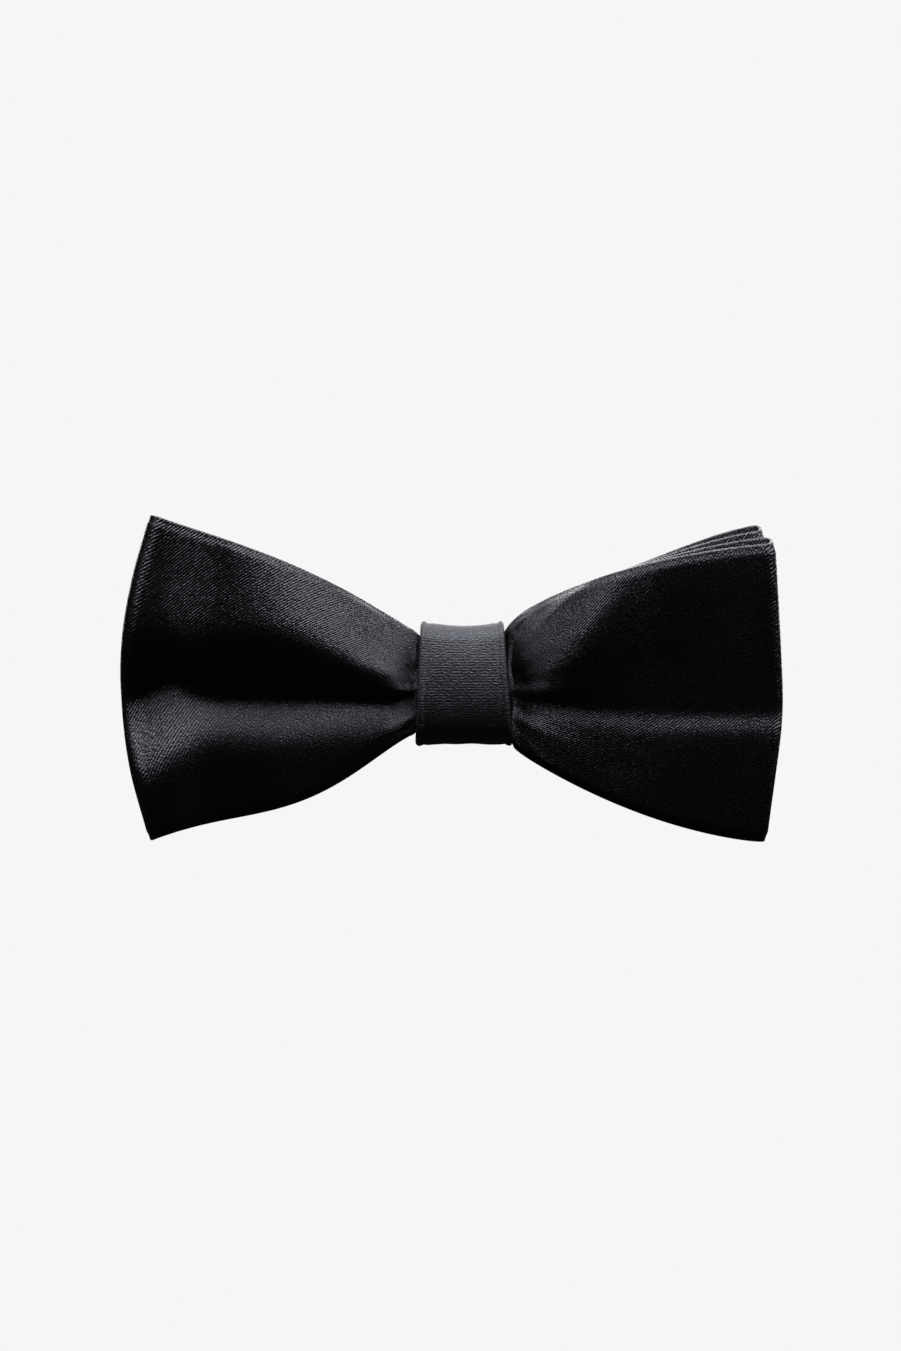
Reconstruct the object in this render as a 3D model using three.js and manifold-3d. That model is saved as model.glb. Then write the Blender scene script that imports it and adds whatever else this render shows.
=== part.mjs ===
// A pre-tied bow tie on an adjustable neckband, in millimetres.
// Upright as worn: +Z up and the front of the bow faces -Y. The origin is the middle of the knot's flat
// back, where it rests on the collar. The clasp is undone, so the neckband is an open ring.

import * as THREE from "three";
import { ParametricGeometry } from "three/addons/geometries/ParametricGeometry.js";
import { mergeVertices } from "three/addons/utils/BufferGeometryUtils.js";
import Module from "manifold-3d";

const wasm = await Module();
wasm.setup();

// Cloth: every bow strip is a flat satin tube with a canvas strip lying inside it.
const satin = 0.35;
const room = 0.25;
const canvas = 0.5;
const stripHalf = satin + room + canvas / 2;

// Bow: four strands deep, counted from the front, each given by its middle.
const pinchDepth = [-11.55, -9.55, -7.55, -5.55];
const wingDepth = [-14.6, -10.8, -8.2, -4.75];
const lobeDepth = [3.6, 1.5, 0.7, 0.2];
const pinchHalfHeight = 8.2;
const foldHeight = -0.07;
const stripGapBehind = 0.8;

// Each wing's outline, as distances from the knot's middle.
const wings = {
  left: {
    side: -1,
    mouth: 9.8,
    corner: 57,
    bulge: 5.3,
    slant: 0,
    top: { start: 9.9, end: 30.5, swell: 0.1, power: 2 },
    bottom: { start: 10.7, end: 28.2, swell: 0.16, power: 2 },
    fan: 0,
  },
  right: {
    side: 1,
    mouth: 9.8,
    corner: 55.2,
    bulge: 2.3,
    slant: 0.8,
    top: { start: 11.7, end: 25.3, swell: 0.16, power: 0.7 },
    bottom: { start: 12.4, end: 28.4, swell: 0.18, power: 0.7 },
    fan: 3.9,
  },
};
const backLoopShort = 2;

// Knot band: a closed ring round the bow and the neckband, wider at its foot.
const knot = { height: 22.6, depth: 15.4, corner: 3.2, crown: 0.6, thick: 0.9 };
const knotEdge = { left: 8.5, leftSlope: 0.045, right: 7.85, rightSlope: 0.075 };
const threadDiameter = 0.7;

// Neckband: a flat strip on a plan of straights and quarter rounds, from the knot to the clasp.
const band = { width: 16, thick: 1.4, y: -2.7, front: 10, round: 44, side: 46 };
const hingeAt = 36;
const hingeGap = 1.2;
const slideAt = 88;
const hookAt = 181;
const eyeAt = 183;

// Metal: bars are round, plates are flat.
const barRadius = 0.8;
const plate = 1.2;
const turnRadius = barRadius + 0.3 + band.thick / 2;
const layerPitch = band.thick + 0.3;
const frameHalf = band.width / 2 + 2;

const smooth = THREE.MathUtils.smoothstep;
const lerp = THREE.MathUtils.lerp;
const quarter = (band.round * Math.PI) / 2;

const finishes = {
  satin: { color: 0x0c0c0e, roughness: 0.38, metalness: 0 },
  canvas: { color: 0xd8d2c4, roughness: 0.95, metalness: 0 },
  thread: { color: 0x0a0a0b, roughness: 0.7, metalness: 0 },
  metal: { color: 0xb4b6ba, roughness: 0.25, metalness: 1 },
};

const bowTie = new THREE.Group();

function addPiece(name, finish, geometry, place = bowTie) {
  const piece = new THREE.Mesh(geometry, new THREE.MeshStandardMaterial(finishes[finish]));
  piece.name = name;
  place.add(piece);
  return piece;
}

// ---- Joining plain solids ----

function solidOf(geometry) {
  const bare = geometry.clone();
  bare.deleteAttribute("normal");
  bare.deleteAttribute("uv");
  const merged = mergeVertices(bare, 1e-4);
  const vertProperties = merged.attributes.position.array;
  return new wasm.Manifold(
    new wasm.Mesh({ numProp: 3, vertProperties, triVerts: new Uint32Array(merged.index.array) }),
  );
}

function joined(...geometries) {
  const mesh = geometries
    .map(solidOf)
    .reduce((whole, next) => whole.add(next))
    .getMesh();
  const geometry = new THREE.BufferGeometry();
  geometry.setAttribute("position", new THREE.BufferAttribute(mesh.vertProperties, 3));
  geometry.setIndex(new THREE.BufferAttribute(mesh.triVerts, 1));
  geometry.computeVertexNormals();
  return geometry;
}

// ---- Bow ----

// Half height of a wing's edge at distance x from the middle: pinched in the knot, then flaring out.
function edgeHeight(wing, edge, x) {
  if (x < wing.mouth) {
    const inKnot = lerp(pinchHalfHeight, 9, smooth(x, 3, 8.8));
    return lerp(inKnot, edge.start, smooth(x, 8.8, wing.mouth + 0.6));
  }
  const t = Math.min((x - wing.mouth) / (wing.corner - wing.mouth), 1);
  return edge.start + (edge.end - edge.start) * (t + edge.swell * Math.sin(Math.PI * t) ** edge.power);
}

// How far a strand stands forward at height w, from -1 at its lower edge to 1: two lobes and a valley.
function lobe(w) {
  const reach = w > foldHeight ? 1 - foldHeight : -1 - foldHeight;
  return Math.sin((Math.PI * (w - foldHeight)) / reach) ** 2;
}

function strandDepth(strand, x, w) {
  const base = lerp(pinchDepth[strand], wingDepth[strand], smooth(x, 9, 40));
  const fullness = smooth(x, 9.5, 22) * (1 - 0.45 * smooth(x, 25, 57));
  return base - lobeDepth[strand] * fullness * lobe(w);
}

function strandHeight(wing, strand, x, w) {
  const fan = wing.fan * (strand / 3) * smooth(x, 26, 54);
  const top = edgeHeight(wing, wing.top, x) + fan;
  return lerp(-edgeHeight(wing, wing.bottom, x), top, (w + 1) / 2);
}

// Steps along a loop: behind each wing, round its end, and across its front.
const backSteps = 7;
const turnSteps = 3;
const stations = 2 * (2 * backSteps + turnSteps);

// A point of a loop's middle surface. The strip starts behind the middle, runs out along the back of
// the left wing, turns at its end, crosses the front, turns at the right end and comes back.
function stripMiddle(loop, along, w) {
  const wing = along < stations / 2 ? wings.left : wings.right;
  const step = along < stations / 2 ? along : stations - along;
  const [front, behind] = [2 * loop, 2 * loop + 1];
  const turn = THREE.MathUtils.clamp((backSteps + turnSteps - step) / turnSteps, 0, 1);
  const swing = (1 - Math.cos(Math.PI * turn)) / 2;
  const outline = wing.corner + wing.bulge * (1 - w * w) + wing.slant * w - backLoopShort * loop;
  const endRadius = (strandDepth(behind, wing.corner, w) - strandDepth(front, wing.corner, w)) / 2;
  const fold = outline - stripHalf - endRadius;
  let x = fold + endRadius * Math.sin(Math.PI * turn);
  if (step < backSteps) x = lerp(stripGapBehind, fold, step / backSteps);
  if (step > backSteps + turnSteps) x = fold * (1 - (step - backSteps - turnSteps) / backSteps);
  const flat = Math.min(x, fold);
  const y = lerp(strandDepth(front, flat, w), strandDepth(behind, flat, w), swing);
  const z = lerp(strandHeight(wing, front, x, w), strandHeight(wing, behind, x, w), turn);
  return new THREE.Vector3(wing.side * x, y, z);
}

// A loop's surface at a distance out from its middle surface, with the long edges drawn in.
function stripSurface(loop, along, w, out, inset) {
  const nudge = 0.02;
  const here = stripMiddle(loop, along, w);
  const ahead = stripMiddle(loop, Math.min(along + nudge, stations), w);
  const behind = stripMiddle(loop, Math.max(along - nudge, 0), w);
  const run = ahead.sub(behind).setZ(0).normalize();
  return new THREE.Vector3(here.x + run.y * out, here.y - run.x * out, here.z - inset);
}

const heights = [-1, -0.74, -0.44, -0.07, 0.26, 0.64, 1];

// The corners round a strip's section, as [height, distance out, how far its edge is drawn in].
function sectionRing(half, inset, roundEdge) {
  const face = (out) => heights.map((w) => [w, out, Math.abs(w) === 1 ? inset * w : 0]);
  const tip = (w) => (roundEdge ? [[w, 0, (inset - half) * w]] : []);
  return [...face(-half), ...tip(1), ...face(half).reverse(), ...tip(-1)];
}

function ringGeometry(rings, pointOn) {
  const size = rings[0].length;
  const place = (u, v, target) => {
    const along = Math.round(u * rings.length) % rings.length;
    const corner = Math.round((1 - v) * size) % size;
    target.copy(pointOn(along, rings[along][corner]));
  };
  return closedGeometry(new ParametricGeometry(place, rings.length, size));
}

// A closed surface keeps one copy of the points that its seams share.
function closedGeometry(geometry) {
  geometry.deleteAttribute("normal");
  geometry.deleteAttribute("uv");
  const closed = mergeVertices(geometry, 1e-4);
  closed.computeVertexNormals();
  return closed;
}

// The satin tube: its outside from end to end, then its inside back again.
function coverGeometry(loop) {
  const outside = sectionRing(stripHalf, stripHalf, true);
  const inside = sectionRing(stripHalf - satin, stripHalf + satin, true);
  const rings = [...Array(stations + 1).fill(outside), ...Array(stations + 1).fill(inside)];
  return ringGeometry(rings, (along, [w, out, inset]) => {
    const station = along <= stations ? along : 2 * stations + 1 - along;
    return stripSurface(loop, station, w, out, inset);
  });
}

// The canvas strip: one section carried along, with its two ends closed by flattening to a line. Its
// facets split the same way as the satin's inside, so the two stay parallel.
function interliningGeometry(loop) {
  const section = sectionRing(canvas / 2, stripHalf + satin + room + 0.1, false);
  const size = section.length;
  const place = (u, v, target) => {
    const row = Math.round(v * (stations + 2));
    const [w, out, inset] = section[Math.round(u * size) % size];
    const capped = row === 0 || row === stations + 2;
    const station = THREE.MathUtils.clamp(row - 1, 0, stations);
    target.copy(stripSurface(loop, station, w, capped ? 0 : out, inset));
  };
  return closedGeometry(new ParametricGeometry(place, size, stations + 2));
}

["front", "back"].forEach((name, loop) => {
  addPiece(name + "_bow_cover", "satin", coverGeometry(loop));
  addPiece(name + "_bow_interlining", "canvas", interliningGeometry(loop));
});

// ---- Knot ----

function roundedOutline(halfHeight, nearY, farY, radius) {
  const path = new THREE.Path();
  const turns = [
    [nearY - radius, halfHeight - radius, 0],
    [farY + radius, halfHeight - radius, 1],
    [farY + radius, radius - halfHeight, 2],
    [nearY - radius, radius - halfHeight, 3],
  ];
  path.moveTo(nearY, 0);
  turns.forEach(([y, z, n]) =>
    path.absarc(y, z, radius, (n * Math.PI) / 2, ((n + 1) * Math.PI) / 2, false),
  );
  path.lineTo(nearY, 0);
  return path;
}

const knotOutline = roundedOutline(knot.height / 2, 0, -knot.depth, knot.corner);
const knotSteps = 36;

function knotPoint(step, across, inward) {
  const at = knotOutline.getPointAt(step / knotSteps);
  const run = knotOutline.getTangentAt(step / knotSteps);
  const z = at.y + run.x * inward;
  const crown = at.x < -knot.depth + 0.01 ? knot.crown * Math.cos((Math.PI * z) / knot.height) : 0;
  const edge =
    across < 0
      ? knotEdge.left - knotEdge.leftSlope * z
      : knotEdge.right - knotEdge.rightSlope * z;
  return new THREE.Vector3(across * edge, at.x - run.y * inward - crown, z);
}

function bandRing(nearDepth, farDepth, reach) {
  const lip = 0.25 * (farDepth - nearDepth);
  const section = [
    [-reach, nearDepth + lip],
    [-reach, farDepth - lip],
    [-0.93 * reach, farDepth],
    [0, farDepth],
    [0.93 * reach, farDepth],
    [reach, farDepth - lip],
    [reach, nearDepth + lip],
    [0.93 * reach, nearDepth],
    [0, nearDepth],
    [-0.93 * reach, nearDepth],
  ];
  const rings = Array(knotSteps).fill(section);
  return ringGeometry(rings, (step, [across, inward]) => knotPoint(step, across, inward));
}

addPiece("knot_wrap", "satin", bandRing(0, knot.thick, 1));
addPiece("knot_interlining", "canvas", bandRing(knot.thick + 0.3, knot.thick + 0.8, 0.88));

// ---- Strips and threads that follow a list of points ----

// Steps along this curve go from point to point, so bends can have more of them than straights.
class PointPath extends THREE.Curve {
  constructor(points) {
    super();
    this.points = points;
  }
  getPoint(t) {
    const place = THREE.MathUtils.clamp(t, 0, 1) * (this.points.length - 1);
    const from = Math.min(Math.floor(place), this.points.length - 2);
    return this.points[from].clone().lerp(this.points[from + 1], place - from);
  }
  getUtoTmapping(u) {
    return u;
  }
}

function swept(shape, points) {
  const extrudePath = new PointPath(points);
  return new THREE.ExtrudeGeometry(shape, { steps: points.length - 1, extrudePath });
}

function threadGeometry(points) {
  const sides = 6;
  const corners = Array.from({ length: sides }, (_, i) => {
    const angle = (2 * Math.PI * i) / sides;
    return new THREE.Vector2(Math.cos(angle), Math.sin(angle)).multiplyScalar(threadDiameter / 2);
  });
  return swept(new THREE.Shape(corners), points);
}

// Gather thread: wound round the pinched middle of both loops.
const windings = 3;
const stepsPerWinding = 18;
const windingOutline = roundedOutline(
  pinchHalfHeight + 0.3 + threadDiameter / 2,
  pinchDepth[3] + stripHalf + 0.3 + threadDiameter / 2,
  pinchDepth[0] - stripHalf - 0.3 - threadDiameter / 2,
  1.4,
);
const windingPoints = Array.from({ length: windings * stepsPerWinding + 1 }, (_, i) => {
  const at = windingOutline.getPointAt((i % stepsPerWinding) / stepsPerWinding);
  const x = (i / stepsPerWinding - windings / 2) * 1.1;
  return new THREE.Vector3(x, at.x, at.y);
});
addPiece("gather_thread", "thread", threadGeometry(windingPoints));

// Knot seam: a whip stitch along the lower corner of the knot's back, where the band's end is turned in.
// It stands inside the corner's square, so it clears both the flat back and the knot's foot.
const seamPoints = Array.from({ length: 17 }, (_, i) => {
  const angle = THREE.MathUtils.degToRad(i % 2 ? 43 : 50);
  const reach = knot.corner + 0.2 + threadDiameter / 2;
  const y = reach * Math.cos(angle) - knot.corner;
  const z = knot.corner - knot.height / 2 - reach * Math.sin(angle);
  return new THREE.Vector3((i - 8) * 0.8, y, z);
});
addPiece("knot_seam_stitch", "thread", threadGeometry(seamPoints));

// ---- Neckband ----

// Where the band's middle is after a distance along it, and which way it heads, on the right side.
function bandPlace(distance) {
  const { front, round, side, y } = band;
  const turned = (along) => THREE.MathUtils.clamp(along / round, 0, Math.PI / 2);
  const first = turned(distance - front);
  const second = turned(distance - front - quarter - side);
  const straight = THREE.MathUtils.clamp(distance - front - quarter, 0, side);
  const past = Math.max(distance - front - 2 * quarter - side, 0);
  return {
    x: Math.min(distance, front) + round * Math.sin(first) - round * (1 - Math.cos(second)) - past,
    y: y + round * (1 - Math.cos(first)) + straight + round * Math.sin(second),
    heading: first + second,
  };
}

// A point at a distance along the band and a distance in from it, towards the neck.
function bandPoint(distance, inward, side) {
  const place = bandPlace(distance);
  const x = place.x - Math.sin(place.heading) * inward;
  const y = place.y + Math.cos(place.heading) * inward;
  return new THREE.Vector3(side * x, y, 0);
}

function bandRun(from, to, side, steps, inwardAt = () => 0) {
  return Array.from({ length: steps + 1 }, (_, i) => {
    const t = i / steps;
    return bandPoint(lerp(from, to, t), inwardAt(t), side);
  });
}

// Half a turn round a bar that stands a distance along the band and a distance in from it.
function turnRun(barAt, barInward, forward, side) {
  const steps = 8;
  return Array.from({ length: steps + 1 }, (_, i) => {
    const angle = (i / steps) * Math.PI;
    const along = barAt + forward * turnRadius * Math.sin(angle);
    return bandPoint(along, barInward - turnRadius * Math.cos(angle), side);
  });
}

function bandGeometry(points) {
  const edge = 0.35;
  const [h, w] = [band.thick / 2, band.width / 2];
  const section = new THREE.Shape();
  section.moveTo(-w, edge - h);
  section.lineTo(edge - w, -h);
  section.lineTo(w - edge, -h);
  section.lineTo(w, edge - h);
  section.lineTo(w, h - edge);
  section.lineTo(w - edge, h);
  section.lineTo(edge - w, h);
  section.lineTo(-w, h - edge);
  section.closePath();
  return swept(section, points);
}

// Through the knot: the two halves meet at the middle of the knot, in one piece.
const centreRight = bandRun(0, hingeAt - hingeGap / 2, 1, 6);
const centreLeft = bandRun(0, hingeAt - hingeGap / 2, -1, 6).slice(1);
addPiece("neckband_centre", "satin", bandGeometry([...centreLeft.reverse(), ...centreRight]));

// The short side: turned round the eye's bar and sewn back on itself.
const sewnBack = 10;
const sewnInward = layerPitch + 0.1;
const leftRun = [
  ...bandRun(hingeAt + hingeGap / 2, eyeAt - 0.5, -1, 16),
  ...turnRun(eyeAt, turnRadius, 1, -1),
  ...bandRun(eyeAt - 3, eyeAt - sewnBack, -1, 3, (t) => lerp(2.6, sewnInward, smooth(t, 0, 0.7))),
];
addPiece("neckband_left", "satin", bandGeometry(leftRun));

// The long side: straight through the slide, then round the hook's bar.
const rightRun = [
  ...bandRun(hingeAt + hingeGap / 2, hookAt - 0.5, 1, 16),
  ...turnRun(hookAt, turnRadius, 1, 1),
];
addPiece("neckband_right", "satin", bandGeometry(rightRun));

// Doubled back from the hook, first round the curve, then along the straight as far as the slide.
const straightEnd = band.front + quarter + band.side;
const returnInward = (t) => lerp(2 * turnRadius, layerPitch, smooth(t, 0, 0.2));
addPiece(
  "neckband_doubled",
  "satin",
  bandGeometry(bandRun(hookAt - 0.35, straightEnd + 0.3, 1, 12, returnInward)),
);
const slideBarInward = layerPitch + turnRadius;
const returnEnd = slideAt + 3;
addPiece("neckband_return", "satin", bandGeometry(bandRun(straightEnd, returnEnd, 1, 4, () => layerPitch)));

// The tail: round the slide's middle bar and sewn down.
const tailRun = [
  ...bandRun(returnEnd - 0.3, slideAt + 0.3, 1, 1, () => layerPitch),
  ...turnRun(slideAt, slideBarInward, -1, 1),
  ...bandRun(slideAt + 1, slideAt + 7, 1, 2, () => layerPitch + 2 * turnRadius),
];
addPiece("neckband_tail", "satin", bandGeometry(tailRun));

// A bar tack: a zigzag of thread across the strap, on its neck side.
function tackGeometry(distance, inward, side) {
  const points = Array.from({ length: 15 }, (_, i) => {
    const lift = inward + band.thick / 2 + 0.3 + threadDiameter / 2;
    return bandPoint(distance + (i % 2 ? 0.9 : -0.9), lift, side).setZ((i - 7) * 0.9);
  });
  return threadGeometry(points);
}
addPiece("eye_tack", "thread", tackGeometry(eyeAt - sewnBack + 2.4, sewnInward, -1));
addPiece("slide_tack", "thread", tackGeometry(slideAt + 4.4, layerPitch + 2 * turnRadius, 1));

// ---- Metal ----

// A group at a bar: its X runs on along the band, its Y across it and its Z up.
function fittingPlace(distance, inward, side) {
  const place = new THREE.Group();
  const at = bandPoint(distance, inward, side);
  const { heading } = bandPlace(distance);
  place.position.copy(at);
  place.rotation.z = side > 0 ? heading : Math.PI - heading;
  bowTie.add(place);
  return place;
}

function rectangle(x0, x1, halfZ, corner) {
  const shape = new THREE.Shape();
  shape.moveTo(x0 + corner, -halfZ);
  shape.lineTo(x1 - corner, -halfZ);
  shape.absarc(x1 - corner, corner - halfZ, corner, -Math.PI / 2, 0);
  shape.absarc(x1 - corner, halfZ - corner, corner, 0, Math.PI / 2);
  shape.absarc(x0 + corner, halfZ - corner, corner, Math.PI / 2, Math.PI);
  shape.absarc(x0 + corner, corner - halfZ, corner, Math.PI, 1.5 * Math.PI);
  return shape;
}

// A plate that stands up in the XZ plane, centred on y = 0.
function standingPlate(shape) {
  const settings = { depth: plate, bevelEnabled: false, curveSegments: 4 };
  const geometry = new THREE.ExtrudeGeometry(shape, settings);
  return geometry.translate(0, 0, -plate / 2).rotateX(Math.PI / 2);
}

const windowHalf = band.width / 2 + 0.4;
const windowEnd = turnRadius + band.thick / 2 + 0.4;

// Hook: a frame on the strap's turn, with a tongue bent back on the outer side.
const hookFrame = rectangle(-barRadius, windowEnd + 2, frameHalf, 1);
hookFrame.holes.push(rectangle(barRadius, windowEnd, windowHalf, 0.5));
const tongue = { start: windowEnd + 1, bend: 10.2, inner: 0.9, thick: 1, tip: 6.4, half: 3 };
const tongueSide = new THREE.Shape();
const bendY = tongue.thick / 2 + tongue.inner;
tongueSide.moveTo(tongue.start, -tongue.thick / 2);
tongueSide.lineTo(tongue.bend, -tongue.thick / 2);
tongueSide.absarc(tongue.bend, bendY, tongue.inner + tongue.thick, -Math.PI / 2, Math.PI / 2);
tongueSide.lineTo(tongue.tip, bendY + tongue.inner + tongue.thick);
tongueSide.lineTo(tongue.tip, bendY + tongue.inner);
tongueSide.lineTo(tongue.bend, bendY + tongue.inner);
tongueSide.absarc(tongue.bend, bendY, tongue.inner, Math.PI / 2, -Math.PI / 2, true);
tongueSide.lineTo(tongue.start, tongue.thick / 2);
const tongueGeometry = new THREE.ExtrudeGeometry(tongueSide, {
  depth: 2 * tongue.half,
  bevelEnabled: false,
  curveSegments: 8,
}).translate(0, 0, -tongue.half);
tongueGeometry.rotateX(Math.PI);
addPiece(
  "hook",
  "metal",
  joined(standingPlate(hookFrame), tongueGeometry),
  fittingPlace(hookAt, turnRadius, 1),
);

// Eye: a frame on the short side, with a second window for the hook's tongue.
const eyeFrame = rectangle(-barRadius, windowEnd + 8.4, frameHalf, 1);
eyeFrame.holes.push(rectangle(barRadius, windowEnd, windowHalf, 0.5));
eyeFrame.holes.push(rectangle(windowEnd + 1.6, windowEnd + 6.6, 4.8, 0.8));
addPiece("eye", "metal", standingPlate(eyeFrame), fittingPlace(eyeAt, turnRadius, -1));

// Slide: two outer bars before the strap and a middle bar behind it, between two end plates.
const slideReach = 5;
const barTop = frameHalf - plate / 2;
function standingBar(x, y) {
  const bar = new THREE.CylinderGeometry(barRadius, barRadius, 2 * barTop, 12);
  return bar.rotateX(Math.PI / 2).translate(x, y, 0);
}
const outerBarY = -(band.thick / 2 + 0.3 + barRadius);
const endPlate = new THREE.Shape();
const rim = barRadius + 0.4;
endPlate.absarc(-slideReach, outerBarY, rim, Math.PI * 0.75, Math.PI * 1.5);
endPlate.absarc(slideReach, outerBarY, rim, -Math.PI / 2, Math.PI * 0.25);
endPlate.absarc(0, slideBarInward, rim, Math.PI * 0.25, Math.PI * 0.75);
const endPlates = [-1, 1].map((end) => {
  const settings = { depth: plate, bevelEnabled: false, curveSegments: 5 };
  const geometry = new THREE.ExtrudeGeometry(endPlate, settings);
  return geometry.translate(0, 0, end * (windowHalf + plate / 2) - plate / 2);
});
addPiece(
  "adjuster_slide",
  "metal",
  joined(
    ...endPlates,
    standingBar(-slideReach, outerBarY),
    standingBar(slideReach, outerBarY),
    standingBar(0, slideBarInward),
  ),
  fittingPlace(slideAt, 0, 1),
);

export default bowTie;
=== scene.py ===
import math

import bmesh
import bpy
import numpy as np
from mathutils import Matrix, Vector


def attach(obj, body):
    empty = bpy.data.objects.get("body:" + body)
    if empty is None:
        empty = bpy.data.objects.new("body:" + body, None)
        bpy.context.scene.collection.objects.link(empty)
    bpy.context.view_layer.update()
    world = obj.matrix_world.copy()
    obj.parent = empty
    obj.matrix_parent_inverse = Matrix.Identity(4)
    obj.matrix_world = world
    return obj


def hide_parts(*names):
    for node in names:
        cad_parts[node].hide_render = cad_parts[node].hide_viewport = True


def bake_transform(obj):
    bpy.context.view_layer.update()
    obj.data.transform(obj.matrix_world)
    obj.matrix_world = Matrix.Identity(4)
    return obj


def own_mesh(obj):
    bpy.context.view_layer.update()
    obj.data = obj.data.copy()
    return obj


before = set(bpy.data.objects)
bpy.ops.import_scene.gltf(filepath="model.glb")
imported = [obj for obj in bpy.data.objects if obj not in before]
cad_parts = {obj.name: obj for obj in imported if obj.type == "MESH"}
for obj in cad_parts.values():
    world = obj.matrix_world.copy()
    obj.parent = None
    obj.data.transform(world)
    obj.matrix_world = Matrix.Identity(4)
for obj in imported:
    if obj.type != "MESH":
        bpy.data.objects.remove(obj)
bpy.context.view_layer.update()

# ---- Studio ----
# The bow tie hangs upright, as worn, above a plain pale floor. One broad soft light stands over it, a
# smaller one on each side and one behind, so the folds of the black satin show by their sheen alone.

MM = 0.001
scene = bpy.context.scene
scene.view_settings.view_transform = "Standard"


def linear(hex_colour):
    """An sRGB hex colour as linear red, green, blue and alpha."""
    channels = [int(hex_colour[i : i + 2], 16) / 255 for i in (1, 3, 5)]
    return [c / 12.92 if c <= 0.04045 else ((c + 0.055) / 1.055) ** 2.4 for c in channels] + [1]


def add_node(tree, kind, settings=None, links=None):
    """Adds a node with its settings and input values, and links sockets into its inputs."""
    node = tree.nodes.new(kind)
    for name, value in (settings or {}).items():
        if isinstance(name, int) or name in node.inputs:
            node.inputs[name].default_value = value
        else:
            setattr(node, name, value)
    for name, socket in (links or {}).items():
        tree.links.new(socket, node.inputs[name])
    return node


def new_material(name):
    """A material without nodes, and its node tree."""
    material = bpy.data.materials.new(name)
    material.use_nodes = True
    material.node_tree.nodes.clear()
    return material, material.node_tree


def pale_to_the_eye(tree, dim, pale, output):
    """Shows the eye a pale surface and the satin a dim one, since a bright room would turn it grey."""
    path = add_node(tree, "ShaderNodeLightPath")
    seen = add_node(tree, "ShaderNodeMixShader", links={0: path.outputs["Is Camera Ray"]})
    tree.links.new(dim.outputs[0], seen.inputs[1])
    tree.links.new(pale.outputs[0], seen.inputs[2])
    add_node(tree, output, links={"Surface": seen.outputs[0]})


def add_soft_light(name, place, size, watts, colour="#ffffff", aim=(0, 0, 0)):
    """A rectangular lamp, its place and size in metres, that faces the point aim."""
    data = bpy.data.lights.new(name, "AREA")
    data.shape = "RECTANGLE"
    data.size, data.size_y = size
    data.energy = watts
    data.color = linear(colour)[:3]
    lamp = bpy.data.objects.new(name, data)
    lamp.location = place
    lamp.rotation_euler = (Vector(aim) - Vector(place)).to_track_quat("-Z", "Y").to_euler()
    scene.collection.objects.link(lamp)


PALE = linear("#f6f6f6")
FLOOR_DROP = 0.16

world = bpy.data.worlds.new("pale_room")
scene.world = world
world.use_nodes = True
world.node_tree.nodes.clear()
room_dim = add_node(
    world.node_tree, "ShaderNodeBackground", {"Color": linear("#e8ebf2"), "Strength": 0.006}
)
room_pale = add_node(world.node_tree, "ShaderNodeBackground", {"Color": PALE, "Strength": 1.0})
pale_to_the_eye(world.node_tree, room_dim, room_pale, "ShaderNodeOutputWorld")

add_soft_light("overhead_softbox", (-0.08, -0.19, 0.97), (1.1, 0.35), 18)
add_soft_light("left_softbox", (-0.80, -0.14, 0.84), (0.5, 0.45), 6)
add_soft_light("right_softbox", (0.80, -0.14, 0.84), (0.5, 0.45), 11)
add_soft_light("back_softbox", (0.15, 1.0, 0.45), (1.4, 0.9), 22, aim=(0, 0.06, 0))

bpy.ops.mesh.primitive_plane_add(size=6, location=(0, 0, -FLOOR_DROP))
floor = bpy.context.object
floor.name = "pale_floor"
paper, paper_tree = new_material("pale_paper")
paper_dim = add_node(paper_tree, "ShaderNodeBsdfDiffuse", {"Color": linear("#1c1c1c")})
paper_pale = add_node(paper_tree, "ShaderNodeEmission", {"Color": PALE, "Strength": 1.0})
pale_to_the_eye(paper_tree, paper_dim, paper_pale, "ShaderNodeOutputMaterial")
floor.data.materials.append(paper)

# The camera stands dead in front, a metre away, level with the bow's middle. Its frame is 244 mm high
# where the bow is.
VIEW_HEIGHT = 0.2441
CAMERA_DISTANCE = 1.0
BOW_PLANE = -0.014
BOW_MIDDLE = (-0.0026, 0.0014)
camera_data = bpy.data.cameras.new("front_camera")
camera_data.sensor_width = 36
camera_data.lens = camera_data.sensor_width * CAMERA_DISTANCE / VIEW_HEIGHT
camera = bpy.data.objects.new("front_camera", camera_data)
camera.location = (BOW_MIDDLE[0], BOW_PLANE - CAMERA_DISTANCE, BOW_MIDDLE[1])
camera.rotation_euler = (math.pi / 2, 0, 0)
scene.collection.objects.link(camera)
scene.camera = camera

# ---- Bow covers ----
# Each loop of the bow is a black satin tube, pressed flat, folded back at both wing ends and pinched
# in the middle. Two loops lie one behind the other, and their four layers fan out on the right.

STRIP_HALF = 0.75  # half the thickness of a pressed tube
SATIN_WALL = 0.3
EDGE_PRESSED = 0.36  # how much less that half is at the long edges
THINNEST_EDGE = 0.08
FOLD_FLATNESS = 0.8  # reach of a wing's folded end against a half circle
NECK_HALF = 8.2  # half height of the pinched middle
RIGHT_FAN = 3.9  # how much higher the rearmost layer stands at the right end
LOOP_STEP = 1.7  # how much shorter the back loop is at each end
# Each layer's middle from front to back, in the knot and at the wing's end, and the share of the
# front layer's folds that each one follows, beside the knot and farther out.
PINCH_DEPTH = (-11.55, -9.55, -7.55, -5.55)
END_DEPTH = (-14.2, -10.9, -8.7, -5.4)
PINCH_SWELL = (1.0, 0.80, 0.60, 0.35)
LAYER_SWELL = (1.0, 0.42, 0.22, 0.10)


def smooth(x, low, high):
    """Zero up to low, one from high on, and an S-curve between them."""
    t = np.clip((x - low) / (high - low), 0, 1)
    return t * t * (3 - 2 * t)


def mix(a, b, share):
    return a + (b - a) * share


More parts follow.
